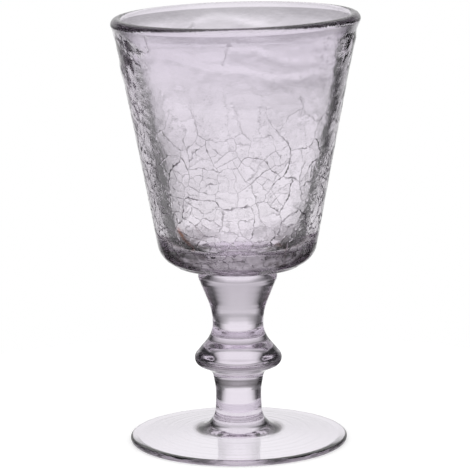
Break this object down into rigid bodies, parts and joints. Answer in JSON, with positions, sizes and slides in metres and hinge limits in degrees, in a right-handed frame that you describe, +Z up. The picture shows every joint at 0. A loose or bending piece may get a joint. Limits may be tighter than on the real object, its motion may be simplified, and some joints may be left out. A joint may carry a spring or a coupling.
{
  "type": "crackle glass goblet",
  "caption": "Stemmed crackle-glass goblet: a thick tapering bowl crazed with fine cracks, a stem with a flared knop, and a thin round foot.",
  "frame": {"origin": "middle of the foot, on the surface that the goblet stands on", "axes": "+Z up along the stem, +X towards the side where the hand-made rim stands highest"},
  "size_m": [0.09, 0.09, 0.1578],
  "materials": {
    "glass": "clear glass with a pale grey-violet tint, fire-polished outside, crazed with fine cracks in the bowl"
  },
  "bodies": {
    "root": {"goblet": "glass"}
  },
  "joints": []
}
